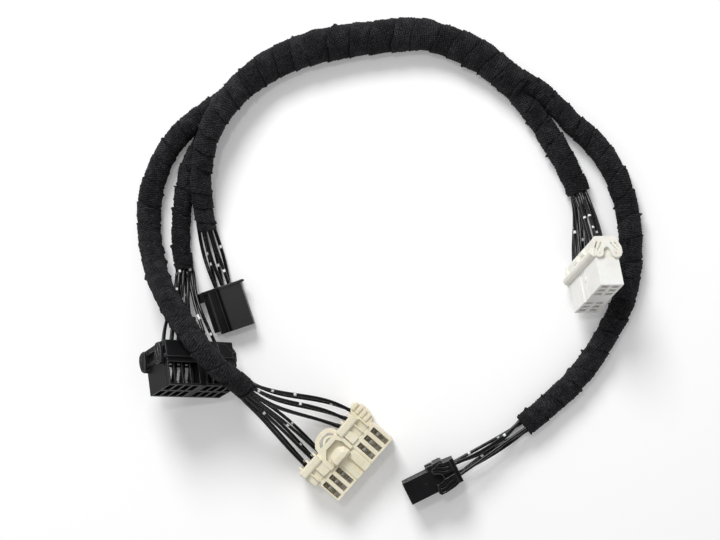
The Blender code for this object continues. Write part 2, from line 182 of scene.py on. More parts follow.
def through(knots, step):
    """Points at even steps along a Catmull-Rom curve through the knots, with its length so far."""
    ends = np.vstack([2 * knots[0] - knots[1], knots, 2 * knots[-1] - knots[-2]])
    dense = []
    for a, b, c, d in zip(ends, ends[1:], ends[2:], ends[3:]):
        for t in np.arange(0, 1, 0.05):
            bend = (a - 2.5 * b + 2 * c - d / 2) * t**2 + (3 * b - a - 3 * c + d) * t**3 / 2
            dense.append(b + (c - a) * t / 2 + bend)
    dense = np.array([*dense, knots[-1]])
    run = np.concatenate([[0], np.cumsum(np.linalg.norm(np.diff(dense[:, :3], axis=0), axis=1))])
    places = np.linspace(0, run[-1], max(3, round(run[-1] / step)))
    line = np.stack([np.interp(places, run, dense[:, k]) for k in range(dense.shape[1])], axis=1)
    return line, places


def centre_line(route, step):
    """Points of a route in millimetres, each with the width there, and the length so far."""
    knots = np.array([(*spot(px, py, high * MM) / MM, wide) for px, py, high, wide in route])
    return through(knots, step)


def add_object(name, data):
    obj = bpy.data.objects.new(name, data)
    bpy.context.scene.collection.objects.link(obj)
    return obj


def make_camera():
    data = bpy.data.cameras.new("camera")
    data.sensor_fit = "HORIZONTAL"
    data.sensor_width = SENSOR
    data.lens = SENSOR * VIEW_HEIGHT / (PHOTO_WIDTH * SCALE)
    camera = add_object("camera", data)
    camera.location = (*spot(*VIEW_CENTRE, 0)[:2], VIEW_HEIGHT)
    bpy.context.scene.camera = camera


class Nodes:
    """A node tree that is made one node after another."""

    def __init__(self, tree):
        self.tree = tree

    def set(self, node, values):
        for socket, value in values.items():
            if isinstance(value, bpy.types.NodeSocket):
                self.tree.links.new(value, node.inputs[socket])
            else:
                node.inputs[socket].default_value = value

    def node(self, kind, output, values, **options):
        made = self.tree.nodes.new("ShaderNode" + kind)
        for option, value in options.items():
            setattr(made, option, value)
        self.set(made, values)
        return made.outputs[output]

    def noise(self, where, scale, detail=3.0, rough=0.55):
        values = {"Vector": where, "Scale": scale, "Detail": detail, "Roughness": rough}
        return self.node("TexNoise", "Fac", values)

    def span(self, value, low, high, start=0.0, end=1.0):
        """The value mapped from low..high to start..end and held there."""
        values = {"Value": value, "From Min": low, "From Max": high, "To Min": start, "To Max": end}
        return self.node("MapRange", "Result", values)

    def math(self, operation, first, second=0.0):
        return self.node("Math", 0, {0: first, 1: second}, operation=operation)

    def blend(self, share, first, second):
        """The first number where the share is 0 and the second where it is 1."""
        return self.node("Mix", 0, {0: share, 2: first, 3: second})

    def mix(self, share, first, second):
        """The first colour where the share is 0 and the second where it is 1."""
        return self.node("Mix", 2, {0: share, 6: first, 7: second}, data_type="RGBA")

    def any_ray(self, first, *others):
        """1 for a ray of any of these kinds, and 0 for any other."""
        total = self.node("LightPath", first, {})
        for kind in others:
            total = self.math("MAXIMUM", total, self.node("LightPath", kind, {}))
        return total


class Look(Nodes):
    """A material."""

    def __init__(self, name, colour, roughness):
        self.material = bpy.data.materials.new(name)
        self.material.use_nodes = True
        super().__init__(self.material.node_tree)
        self.shader = self.tree.nodes["Principled BSDF"]
        self.set(self.shader, {"Base Color": (*colour, 1), "Roughness": roughness})

    def place(self):
        return self.node("TexCoord", "Object", {})

    def attribute(self, name):
        return self.node("Attribute", "Fac", {}, attribute_name=name)

    def bump(self, height, strength, distance):
        values = {"Height": height, "Strength": strength, "Distance": distance}
        self.set(self.shader, {"Normal": self.node("Bump", "Normal", values)})


def tape_look():
    """Black woven cloth tape: threads both ways, lint, edges that are a little frayed and lighter as a
    painted highlight, and painted shade under each lap's edge.
    """
    look = Look("cloth_tape_look", (0.012, 0.012, 0.013), 0.85)
    where = look.place()
    cloth = look.node("UVMap", "UV", {}, uv_map="lay")
    stray = look.math("MULTIPLY", look.noise(where, 500, 2.0), 5.0)
    threads = []
    for axis, pitch in THREAD_PITCHES.items():
        turns = look.math("MULTIPLY", look.node("SeparateXYZ", axis, {0: cloth}), 2 * math.pi / pitch)
        threads.append(look.math("SINE", look.math("ADD", turns, stray)))
    weave = look.math("ADD", look.math("MULTIPLY", threads[0], 0.7), threads[1])
    grain = look.noise(where, 1300, 3.0, 0.75)
    blotch = look.noise(where, 300, 4.0)
    lint = look.span(look.noise(where, 1900, 1.0), 0.68, 0.78)
    painted_seam_shade = look.attribute("painted_seam_shade")
    edge = look.attribute("edge")
    light = look.math("ADD", look.math("MULTIPLY", weave, 0.22), look.span(grain, 0.35, 0.68))
    light = look.math("MULTIPLY", light, look.span(blotch, 0.3, 0.7, 0.5, 1.25))
    light = look.math("MULTIPLY", light, look.span(look.attribute("tone"), 0.0, 1.0, 0.6, 1.25))
    colour = look.mix(look.span(light, 0.05, 1.0), CLOTH_DEEP, CLOTH_BRIGHT)
    # Frayed lap edges, lightened as a painted highlight.
    colour = look.mix(look.math("MULTIPLY", edge, 0.12), colour, CLOTH_EDGE_HIGHLIGHT)
    colour = look.mix(look.math("MULTIPLY", lint, 0.6), colour, CLOTH_LINT)
    # Painted shade under each lap's edge.
    colour = look.mix(look.math("MULTIPLY", painted_seam_shade, 0.97), colour, CLOTH_SEAM_SHADE)
    look.set(look.shader, {"Base Color": colour, "Roughness": look.span(grain, 0.3, 0.7, 0.7, 0.95)})
    height = look.math("ADD", look.math("MULTIPLY", weave, 0.4), look.math("MULTIPLY", grain, 2.2))
    look.bump(height, 1.0, 0.0004)
    look.set(look.shader, {"Sheen Weight": 0.03, "Sheen Roughness": 0.5, "Specular IOR Level": 0.1})
    return look.material


def wire_look():
    """Glossy black insulation with small white printed ticks."""
    look = Look("wire_look", (0.008, 0.008, 0.009), 0.22)
    where = look.place()
    scuff = look.noise(where, 420, 4.0)
    tick = look.attribute("tick")
    dark = look.mix(look.span(scuff, 0.3, 0.75), WIRE_DEEP, WIRE_BRIGHT)
    worn = look.math("MULTIPLY", tick, look.span(look.noise(where, 1400, 2.0), 0.3, 0.5, 0.55, 1.0))
    colour = look.mix(worn, dark, TICK_COLOUR)
    rough = look.math("ADD", look.span(scuff, 0.3, 0.75, 0.1, 0.2), look.math("MULTIPLY", tick, 0.3))
    look.set(look.shader, {"Base Color": colour, "Roughness": rough, "Specular IOR Level": 0.3})
    look.bump(scuff, 0.12, 0.0002)
    return look.material


def make_mesh(name, verts, quads, tris=()):
    """A mesh object from point and face arrays, in metres."""
    mesh = bpy.data.meshes.new(name)
    faces = [*map(tuple, quads), *map(tuple, tris)]
    mesh.from_pydata(verts.tolist(), [], faces)
    mesh.shade_smooth()
    return add_object(name, mesh)


def sections(line):
    """The direction, the top and the side at each point of a line."""
    along = np.gradient(line[:, :3], axis=0)
    along /= np.linalg.norm(along, axis=1)[:, None]
    side = np.cross(along, (0, 0, 1))
    side /= np.linalg.norm(side, axis=1)[:, None]
    return along, np.cross(side, along), side


def ring_faces(rings, sides):
    i, j = np.meshgrid(np.arange(rings - 1), np.arange(sides), indexing="ij")
    i, j = i.ravel(), j.ravel()
    k = (j + 1) % sides
    return np.stack([i * sides + j, (i + 1) * sides + j, (i + 1) * sides + k, i * sides + k], axis=1)


def caps(rings, sides):
    """Fans that close both ends, with the two centre points that come after the rings."""
    first, last = rings * sides, rings * sides + 1
    j = np.arange(sides)
    k = (j + 1) % sides
    start = np.stack([np.full(sides, first), j, k], axis=1)
    base = (rings - 1) * sides
    end = np.stack([np.full(sides, last), base + k, base + j], axis=1)
    return np.vstack([start, end])


def field(rng, s, turn, pitch, count=14, lobes=3):
    """A smooth random field over a tube, about -1 to 1, with bumps of about this pitch in millimetres."""
    total = np.zeros(np.broadcast(s, turn).shape)
    for _ in range(count):
        wave = rng.normal(0, 2 * math.pi / pitch)
        around = rng.integers(-lobes, lobes + 1)
        total += np.cos(s * wave + turn * around + rng.uniform(0, 2 * math.pi))
    return total * math.sqrt(2 / count)


def bell(x, width):
    """1 where x is 0, and next to nothing from twice this width on."""
    return np.exp(-((x / width) ** 2))


def angles(sides):
    return np.linspace(-math.pi, math.pi, sides, endpoint=False)[None, :]


def outward(top, side, turn):
    """The direction out of a tube at each angle round each point of its line."""
    return top[:, None, :] * np.cos(turn)[..., None] + side[:, None, :] * np.sin(turn)[..., None]


def laps(rng, here, turn, hand):
    """The number of the lap at each place, how far through it the place is, and random picks by lap."""
    count = math.ceil(here[-1, 0] / LAP_STEP) + 3
    seams = np.cumsum(rng.uniform(0.74, 1.26, count) * LAP_STEP) - 2.3 * LAP_STEP
    lap = np.interp(here, seams, np.arange(count))
    lap = lap + hand * turn / (2 * math.pi) + 0.09 * np.cos(turn) + 0.035 * field(rng, here, turn, 14)
    number = np.floor(lap).astype(int)
    return number, lap - number, rng.uniform(0, 1, (3, count + 6))


def cloth_radius(rng, bundle, here, turn, number, part, picks):
    """The bundle's radius with the tape's steps, curled edges, creases, tufts and lumps, in millimetres."""
    thick = 0.65 + 0.7 * picks[0][number]
    step = TAPE_THICKNESS * thick * (1 - part) ** 1.3
    curl = bell(part, 0.05) * np.clip(0.35 + field(rng, here, turn, 8), 0, 1.7) * 0.2
    groove = bell(1 - part, 0.07) * 0.4
    crease = field(rng, here, turn, 2.6) * np.clip(0.6 + 0.5 * field(rng, here, turn, 18), 0.1, 1.2) * 0.075
    nubs = np.clip(field(rng, here, turn, 1.6, 24, 12) - 0.6, 0, 1.6) * 0.2
    tufts = np.clip(field(rng, here, turn, 3, 24, 6) - 0.4, 0, 1.5) * bell(part - 0.05, 0.07) * 0.6
    ridge = np.sin(here * 2 * math.pi / (1.25 + 0.3 * picks[1][number]) + 7 * picks[2][number]
                   + field(rng, here, turn, 10))
    ridge = ridge * np.clip(0.5 + 0.7 * field(rng, here, turn, 6), 0, 1) * 0.05
    lumps = field(rng, here, turn, 24) * 0.16
    return bundle - TAPE_SINK + step + curl - groove + crease + ridge + lumps + nubs + tufts


def wrap(name, route, sides, seed, hand, nodes):
    """A bundle wound with cloth tape, one way round or the other by its hand, 1 or -1."""
    rng = np.random.default_rng(seed)
    line, s = centre_line(route, RING_STEP)
    along, top, side = sections(line)
    turn = angles(sides)
    here = s[:, None]
    number, part, picks = laps(rng, here, turn, hand)
    radius = cloth_radius(rng, line[:, 3:4] / 2, here, turn, number, part, picks)
    radius -= END_SINK * np.exp(-np.minimum(here, s[-1] - here) / 0.5)
    verts = line[:, None, :3] + outward(top, side, turn) * radius[..., None]
    tips = np.stack([line[0, :3] + along[0] * END_DOME, line[-1, :3] - along[-1] * END_DOME])
    verts = np.vstack([verts.reshape(-1, 3), tips])
    verts[:, 2] = np.maximum(verts[:, 2], LOWEST)
    obj = make_mesh(name, verts * MM, ring_faces(len(s), sides), caps(len(s), sides))
    # Painted shade just under each lap's edge, and where the raised edge gets its painted highlight.
    shade = bell(1 - part, 0.085) * np.clip(0.75 + 0.5 * field(rng, here, turn, 7), 0.15, 1)
    store(obj, "painted_seam_shade", shade, 1)
    store(obj, "edge", bell(part, 0.05), 0)
    store(obj, "tone", picks[1][number] + 0.25 * field(rng, here, turn, 12), 0.5)
    lay_cloth(obj, line, s, sides, hand)
    finish_piece(obj, [TAPE], "tape", *nodes)
    return line


def store(obj, name, values, last):
    """A number at each point of a mesh, with the same last value at the points that close its ends."""
    values = np.append(values.ravel(), [last] * (len(obj.data.vertices) - values.size))
    made = obj.data.attributes.new(name, "FLOAT", "POINT")
    made.data.foreach_set("value", values.astype(np.float32))


def lay_cloth(obj, line, s, sides, hand):
    """Cloth coordinates in millimetres, turned to lie along the tape."""
    mesh = obj.data
    layer = mesh.uv_layers.new(name="lay")
    girth = math.pi * float(line[:, 3].mean())
    lean = math.atan(hand * LAP_STEP / girth)
    rings = len(s)
    j = np.tile(np.arange(sides), rings - 1)
    i = np.repeat(np.arange(rings - 1), sides)
    u = np.stack([j, j, j + 1, j + 1], axis=1) / sides * girth
    v = np.stack([s[i], s[i + 1], s[i + 1], s[i]], axis=1)
    cosine, sine = math.cos(lean), math.sin(lean)
    turned = np.stack([u * cosine + v * sine, v * cosine - u * sine], axis=2)
    flat = np.zeros((len(mesh.loops), 2), np.float32)
    flat[: turned.size // 2] = turned.reshape(-1, 2)
    layer.data.foreach_set("uv", flat.ravel())


def finish_piece(obj, looks, slot, *nodes):
    for look in looks:
        obj.data.materials.append(look)
    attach(obj, "root")
    if nodes:
        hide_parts(*nodes)


class Seat:
    """Where a connector sits: x along its rows, y to its latch face, z out of its mating face."""

    def __init__(self, pixel, along, facing, size, rear, sides, base, brim, columns, cell):
        length, thick, depth = size
        self.back = -depth - rear
        self.columns = columns
        self.cell = cell
        self.rows = (thick / 4 - 0.2, 0.2 - thick / 4)
        z = Vector(facing).normalized()
        x = Vector(along)
        x = (x - x.dot(z) * z).normalized()
        turn = Matrix((x, z.cross(x), z)).transposed()
        low = (-length / 2 - sides, -thick / 2 - base, self.back)
        high = (length / 2 + sides, thick / 2 + brim, 0)
        drop = min((turn @ Vector(corner)).z for corner in itertools.product(*zip(low, high)))
        self.matrix = Matrix.Translation(spot(*pixel, -drop * MM)) @ turn.to_4x4()

    def entry(self, column, row):
        return Vector((self.columns[column], self.rows[row], self.back))


def box(x, y, z):
    return prism("z", [(x[0], y[0]), (x[1], y[0]), (x[1], y[1]), (x[0], y[1])], z)


def prism(axis, outline, span):
    """An outline in the plane across an axis, drawn out along it: its two ends, as lists of points."""
    order = {"x": (2, 0, 1), "y": (0, 2, 1), "z": (0, 1, 2)}[axis]
    ends = []
    for level in span:
        ends.append([Vector([(*point, level)[k] for k in order]) for point in outline])
    return ends


def frustum(low, high, span):
    """A solid between two outlines in the plane across y, with as many points each."""
    return [[Vector((x, level, z)) for x, z in outline] for outline, level in zip((low, high), span)]


def arc(centre, radius, start, end, count=7):
    """Points on an arc, with its angles in degrees."""
    points = []
    for angle in np.radians(np.linspace(start, end, count)):
        points.append((centre[0] + radius * math.cos(angle), centre[1] + radius * math.sin(angle)))
    return points


def solids(name, shapes):
    """A mesh of closed shapes, in metres."""
    work = bmesh.new()
    for low, high in shapes:
        first = [work.verts.new(point * MM) for point in low]
        second = [work.verts.new(point * MM) for point in high]
        work.faces.new(first)
        work.faces.new(second)
        for k in range(len(first)):
            m = (k + 1) % len(first)
            work.faces.new((first[k], first[m], second[m], second[k]))
    return mesh_of(work, name)


def mesh_of(work, name):
    """The finished mesh, with its faces turned outward."""
    bmesh.ops.recalc_face_normals(work, faces=work.faces)
    mesh = bpy.data.meshes.new(name)
    work.to_mesh(mesh)
    work.free()
    return mesh


def mould(name, matrix, adds, cuts, bevel, looks, slot, *nodes):
    """One moulding: shapes joined, others cut out of them, and every edge rounded as far as it has room.

    A second look, where given, is for the rounded edges, lighter than the first as a painted highlight.
    """
    obj = add_object(name, solids(name, adds))
    for look in looks:
        obj.data.materials.append(look)
    tool = add_object(name + "_cuts", solids(name, cuts))
    cut = obj.modifiers.new("cuts", "BOOLEAN")
    cut.operation = "DIFFERENCE"
    cut.use_self = True
    cut.object = tool
    settle(obj)
    bpy.data.objects.remove(tool)
    weigh_edges(obj.data, bevel * MM)
    round_off = obj.modifiers.new("edges", "BEVEL")
    round_off.width = bevel * MM
    round_off.segments = 2
    round_off.limit_method = "WEIGHT"
    round_off.use_clamp_overlap = False
    round_off.material = len(looks) - 1
    even = obj.modifiers.new("normals", "WEIGHTED_NORMAL")
    even.keep_sharp = True
    obj.data.shade_smooth()
    settle(obj)
    obj.matrix_world = matrix
    finish_piece(obj, [], slot, *nodes)
    return obj


def weigh_edges(mesh, bevel):
    """Cleans a cut mesh, and gives each sharp edge as much of the bevel as there is room for beside it."""
    work = bmesh.new()
    work.from_mesh(mesh)
    bmesh.ops.remove_doubles(work, verts=work.verts, dist=4e-6)
    bmesh.ops.dissolve_limit(work, angle_limit=0.01, verts=work.verts, edges=work.edges)
    weight = work.edges.layers.float.new("bevel_weight_edge")
    for edge in work.edges:
        if not edge.is_manifold or edge.calc_face_angle(0) < SHARP:
            continue
        share = min(1, 0.8 * room_beside(edge) / bevel)
        edge[weight] = share if edge.is_convex else share / 2
    work.to_mesh(mesh)
    work.free()


def room_beside(edge):
    """Half of the least width of the faces beside an edge."""
    start, end = (vert.co for vert in edge.verts)
    run = (end - start).normalized()
    room = 1.0
    for face in edge.link_faces:
        for other in face.edges:
            if other == edge:
                continue
            first, last = (vert.co for vert in other.verts)
            if set(other.verts) & set(edge.verts):
                if run.cross(last - first).length > 0.5 * other.calc_length():
                    room = min(room, other.calc_length() / 2)
                continue
            pairs = [(first, start, end), (last, start, end), (start, first, last), (end, first, last)]
            for point, one, two in pairs:
                _, share = intersect_point_line(point, one, two)
                near = one.lerp(two, min(1, max(0, share)))
                room = min(room, (point - near).length / 2)
    return room


def settle(obj):
    """Applies the modifiers of an object."""
    graph = bpy.context.evaluated_depsgraph_get()
    mesh = bpy.data.meshes.new_from_object(obj.evaluated_get(graph))
    obj.modifiers.clear()
    obj.data = mesh


def cells(seat, depth):
    """The openings of the terminals in the mating face and in the wire side."""
    wide, tall = seat.cell
    shapes = []
    for column, row in itertools.product(seat.columns, seat.rows):
        across = (column - wide / 2, column + wide / 2)
        up = (row - tall / 2, row + tall / 2)
        shapes.append(box(across, up, (-depth, 1)))
        shapes.append(box(across, up, (seat.back - 3, seat.back + 4)))
    return shapes


def windows(seat, half, y, z):
    """An opening beside the terminals of each column."""
    return [box((column - half, column + half), y, z) for column in seat.columns]


def fan(prefix, line, seat, ways):
    """Wires from a bundle's end to a connector, as in the part.

    Each way is a column, a row, and how far the wire bows sideways and up in millimetres.
    """
    end = Vector(line[-1, :3]) * MM
    out = (end - Vector(line[-9, :3]) * MM).normalized()
    turn = seat.matrix.to_3x3()
    across = turn @ Vector((1, 0, 0))
    across = (across - across.dot(out) * out).normalized()
    side = out.cross(across)
    lines = []
    for (u, v), (column, row, sway, lift) in zip(slots(ways, line[-1, 3] * MM), ways):
        start = end + out * GAP * 1.5 + across * u + side * v
        mouth = seat.matrix @ (seat.entry(column, row) * MM)
        reach = (mouth - start).length * 0.9
        bow = (across * sway + side * lift) * MM
        lines.append(hermite(start, out * reach, mouth, turn @ Vector((0, 0, reach)), bow))
    for number, (points, (column, row, _, _)) in enumerate(zip(spread(lines), ways), 1):
        deep = seat.matrix @ ((seat.entry(column, row) + Vector((0, 0, WIRE_PAST_ENTRY))) * MM)
        inside = Vector(points[0]) - out * WIRE_TUCK
        knots = np.array([tuple(inside), *points, tuple(deep)]) / MM
        wire(f"{prefix}_wire_look_{number:02d}", knots, f"{prefix}_wire_{number:02d}")


def slots(ways, diameter):
    """Places of the wires in the bundle's end: two bowed rows, in the order of the cavities."""
    widest = diameter / 2 - END_INSET * WIRE
    places = []
    for column, row, _, _ in ways:
        mates = sorted(way[0] for way in ways if way[1] == row)
        share = 2 * mates.index(column) / (len(mates) - 1) - 1
        reach = min(widest, (len(mates) - 1) * WIRE_SPACING * 0.7)
        turned = 1 if row == 0 else -1
        u = share * reach - turned * (widest - reach)
        v = max(0.55 * WIRE_SPACING, 0.62 * math.sqrt(max(0, widest**2 - u**2)))
        places.append((u, turned * v))
    return places


def hermite(start, leave, end, arrive, bow):
    """Points of a cubic from start to end, bowed sideways in the middle."""
    points = []
    for index in range(WIRE_POINTS):
        t = index / (WIRE_POINTS - 1)
        place = start * (2 * t**3 - 3 * t**2 + 1) + leave * (t**3 - 2 * t**2 + t)
        place += end * (3 * t**2 - 2 * t**3) + arrive * (t**3 - t**2)
        points.append(place + bow * math.sin(math.pi * t))
    return points


def spread(lines):
    """Pushes wires apart wherever two of them are nearer than they can lie, and keeps them smooth."""
    points = np.array([[tuple(p) for p in line] for line in lines])
    wires, count = points.shape[:2]
    owner = np.repeat(np.arange(wires), count)
    others = owner[:, None] != owner[None, :]
    for _ in range(SPREAD_ROUNDS):
        flat = points.reshape(-1, 3)
        apart = flat[:, None] - flat[None, :]
        far = np.linalg.norm(apart, axis=2) + 1e-12
        short = np.where(others, np.clip(WIRE_SPACING - far, 0, None), 0)
        push = (apart / far[..., None] * short[..., None]).sum(axis=1).reshape(points.shape)
        level = (points[:, :-2] + points[:, 2:]) / 2 - points[:, 1:-1]
        points[:, 1:-1] += SPREAD_PUSH * push[:, 1:-1] + SPREAD_LEVEL * level
    return points


def wire(name, knots, node):
    """A round insulated wire through its knots, with the printed ticks that fall on it."""
    line, s = through(knots, WIRE_STEP)
    _, top, side = sections(line)
    verts = (line[:, None, :] + outward(top, side, angles(WIRE_SIDES)) * WIRE / MM / 2).reshape(-1, 3)
    verts = np.vstack([verts, line[[0, -1]]]) * MM
    obj = make_mesh(name, verts, ring_faces(len(s), WIRE_SIDES), caps(len(s), WIRE_SIDES))
    seen = pixels_of(line)
    for number, place in enumerate(TICKS):
        gaps = np.linalg.norm(seen - np.array(place), axis=1)
        near = int(gaps.argmin())
        rank = gaps[near] - 0.02 * line[near, 2]
        if number not in TICK_OWNERS or rank < TICK_OWNERS[number][0]:
            TICK_OWNERS[number] = (rank, obj, near, s)
    finish_piece(obj, [WIRE_LOOK], "insulation", node)
    store(obj, "tick", np.zeros((len(s), WIRE_SIDES)), 0)


def pixels_of(line):
    """Where the overhead view shows the points of a line in millimetres."""
    nearness = 1 - line[:, 2] * MM / VIEW_HEIGHT
    px = (line[:, 0] * MM / SCALE - VIEW_CENTRE[0] + ORIGIN_PIXEL[0]) / nearness + VIEW_CENTRE[0]
    py = (ORIGIN_PIXEL[1] - VIEW_CENTRE[1] - line[:, 1] * MM / SCALE) / nearness + VIEW_CENTRE[1]
    return np.stack([px, py], axis=1)


def print_ticks():
    """Marks each printed tick on the wire that the overhead view shows there."""
    turn = angles(WIRE_SIDES)[0]
    for number, (_, obj, near, s) in TICK_OWNERS.items():
        values = obj.data.attributes["tick"].data
        half = TICK_HALF * (0.75 + 0.5 * ((number * 7) % 10) / 9)
        lean = 0.5 * math.sin(number * 2.4)
        for i in np.flatnonzero(np.abs(s - s[near]) < half):
            for j in np.flatnonzero(np.abs(turn - lean) < 0.95):
                values[i * WIRE_SIDES + j].value = 1


def plastic_look(name, dark, light, rough, level=0.5, depth=0.0):
    """Moulded plastic with a fine moulded grain and slightly uneven colour."""
    look = Look(name, light, rough)
    where = look.place()
    cloud = look.noise(where, 90, 4.0)
    grain = look.noise(where, 2600, 2.0)
    colour = look.mix(look.span(cloud, 0.3, 0.7), (*dark, 1), (*light, 1))
    scuff = look.span(look.noise(where, 700, 5.0, 0.7), 0.58, 0.72)
    spread_rough = look.span(cloud, 0.3, 0.7, rough - 0.06, rough + 0.08)
    scuffed = (*[min(1, c * 2 + 0.02) for c in light], 1)
    look.set(look.shader, {
        "Base Color": look.mix(look.math("MULTIPLY", scuff, 0.12), colour, scuffed),
        "Roughness": look.math("ADD", spread_rough, look.math("MULTIPLY", scuff, 0.1)),
        "Specular IOR Level": level,
        "Subsurface Weight": depth,
        "Subsurface Scale": 0.002,
    })
    relief = look.math("ADD", look.math("MULTIPLY", cloud, 0.6), look.math("MULTIPLY", grain, 0.25))
    look.bump(relief, 0.18, 0.0003)
    return look.material


def metal_look(name, dark, light, rough):
    look = Look(name, light, rough)
    where = look.place()
    cloud = look.noise(where, 700, 4.0)
    look.set(look.shader, {
        "Base Color": look.mix(look.span(cloud, 0.3, 0.7), (*dark, 1), (*light, 1)),
        "Metallic": 0.85,
        "Roughness": look.span(cloud, 0.3, 0.7, rough - 0.08, rough + 0.12),
    })
    look.bump(cloud, 0.2, 0.0002)
    return look.material


def strip(line, width):
    """The outline of a band of this width along a line of points."""
    points = np.array(line, float)
    along = np.gradient(points, axis=0)
    along /= np.linalg.norm(along, axis=1)[:, None]
    off = np.stack([-along[:, 1], along[:, 0]], axis=1) * width / 2
    return [tuple(p) for p in (*(points + off), *(points - off)[::-1])]


def disc(centre, radius, count=14):
    return arc(centre, radius, 0, 360 * (count - 1) / count, count)


def plug_a():
    """The small black plug on branch A."""
    seat = Seat((235, 330), (0.947, 0.321, 0), (0.321, -0.947, 0), (19.5, 9.6, 14), 7.5, 0.8, 0, 0.8,
                [-2.1, 1.1, 4.3], (2.6, 2.2))
    back = seat.back
    section = [(-9.2, -4.8), (9.75, -4.8), (9.75, 4.8), (-0.2, 4.8), (-0.9, 4.55), (-1.6, 4), (-2.3, 3.75),
               (-3.1, 3.85), (-4, 4), (-6, 4), (-6.4, 3.8), (-6.6, 3.3), (-6.9, 2.9), (-9, 2.7),
               (-9.2, 2.5)]
    rim = [(-9.4, -4.8), (10.3, -4.8), (10.3, 5.2), (0, 5.2), (-1, 4.9), (-2, 4.45), (-6.2, 4.4),
           (-9.4, 4)]
    ear = [(9.5, back), (11, back - 0.05), (11.7, back + 0.35), (11.7, back + 1), (11, back + 1.3),
           (9.5, back + 1.25)]
    adds = [
        prism("z", section, (back + 1.1, 0)),
        prism("z", rim, (back, back + 1.25)),
        prism("y", ear, (1.6, 4.6)),
        box((-12.3, -8.8), (-4.8, 1.5), (-21.3, -16.8)),
        box((-12.3, -11.5), (-4.8, 2.2), (-21.3, -16.8)),
    ]
    cuts = [
        *cells(seat, 9),
        box((-10, -6.4), (-6, 6), (-1.5, 1)),
        box((-9.8, -8.8), (-1.2, 0.2), (-16, -3)),
        box((-11.3, -10.2), (1.4, 3), (-20.4, -17.8)),
    ]
    plug = mould("plug_a", seat.matrix, adds, cuts, 0.22, [MATT, EDGE_HIGHLIGHT], "black_plastic",
                 "connector_a_housing")
    # Faces left of the groove get a smoother black whose darker colour is painted shade.
    plug.data.materials.append(SMOOTH_SHADED)
    for face in plug.data.polygons:
        if face.center.x < -0.9 * MM and face.material_index == 0:
            face.material_index = 2
    return seat


def add_legs(adds, cuts, side, outlines, curves, inner, outer, depth=0.9):
    """The springy legs round the notch in a collar's end, with curved slots pressed into them."""
    for outline in outlines:
        adds.append(prism("x", outline, sorted((side * inner, side * outer))))
    for curve in curves:
        cuts.append(prism("x", strip(curve, 0.75), sorted((side * (outer - depth), side * (outer + 1)))))


def connector_e():
    """The small black connector on branch E."""
    seat = Seat((407, 493), (0, 0, 1), (-0.895, -0.446, 0), (14, 11.8, 15.2), 11, 2.2, 0.8, 1.6,
                [-4.2, 0, 4.2], (2.7, 3.4))
    back = seat.back
    upper = [(2.5, -15.2), (2.9, -16.2), (2.5, -17.3), (1.2, -18.8), (0.8, -20.8), (0.8, -24.2), (5.7, -24.2),
             (5.9, -21.5), (6.7, -19.6), (6.3, -18), (5.5, -16.6), (5.5, -15.2), (4.2, -14.6)]
    lower = [(-2.1, -14.4), (-2.5, -15.4), (-2.3, -17.2), (-1.2, -19), (-0.9, -22), (-0.9, -24.2),
             (-5.7, -24.2), (-6.5, -21.6), (-7.1, -17), (-7.1, -14.3), (-6, -13.4), (-4.6, -13.8),
             (-3.6, -14.6)]
    curves = [
        [(4.6, -15.4), (4.4, -17.2), (3, -19.4), (2.2, -21.4), (2.2, -23.4)],
        [(5.7, -18.4), (4.4, -20.6), (3.8, -23.4)],
        [(-3.9, -15.4), (-4.3, -17), (-2.9, -19.4), (-2.4, -21.6), (-2.4, -23.2)],
        [(-5.9, -15), (-5.9, -17.6), (-4.6, -20.4), (-4.2, -23.2)],
    ]
    latch = [(5.2, -21.4), (7.1, -21), (7.5, -20), (7.5, -16.6), (6.9, -16), (5.2, -15.8)]
    tab = [(3.4, -16), (3.4, -13.2), (4.2, -12.6), (6.3, -12.6), (7, -13.2), (7, -16)]
    adds = [
        box((-7, 7), (-5.3, 5.45), (-15.6, 0)),
        box((-6.8, 6.8), (-5.9, 5.8), (back, -14.8)),
        box((-7.4, 7.4), (-5.7, 5.6), (-24.4, -18.6)),
        prism("x", latch, (-7.6, 7.6)),
        *[prism("y", [(side * x, z) for x, z in tab], (4.8, 7.3)) for side in (1, -1)],
        prism("x", disc((0.1, -10), 0.55), (6.9, 7.14)),
    ]
    cuts = cells(seat, 11) + windows(seat, 1.2, (3, 6.4), (-12.4, -1.2))
    lip = strip([(-5, -13.9), (-3.2, -14.3), (-2.2, -15.6), (-1.9, -17.4), (-0.9, -18.6), (0.6, -18.8),
                 (2, -17.9), (2.7, -16.4), (3.2, -15.2), (4.8, -14.9)], 0.5)
    for side in (-1, 1):
        add_legs(adds, cuts, side, [upper, lower], curves, 6.4, 8.6)
        adds.append(prism("x", lip, sorted((side * 7, side * 9))))
    mould("connector_e", seat.matrix, adds, cuts, 0.16, [BLACK, EDGE_HIGHLIGHT], "black_plastic", "connector_e_housing")
    return seat


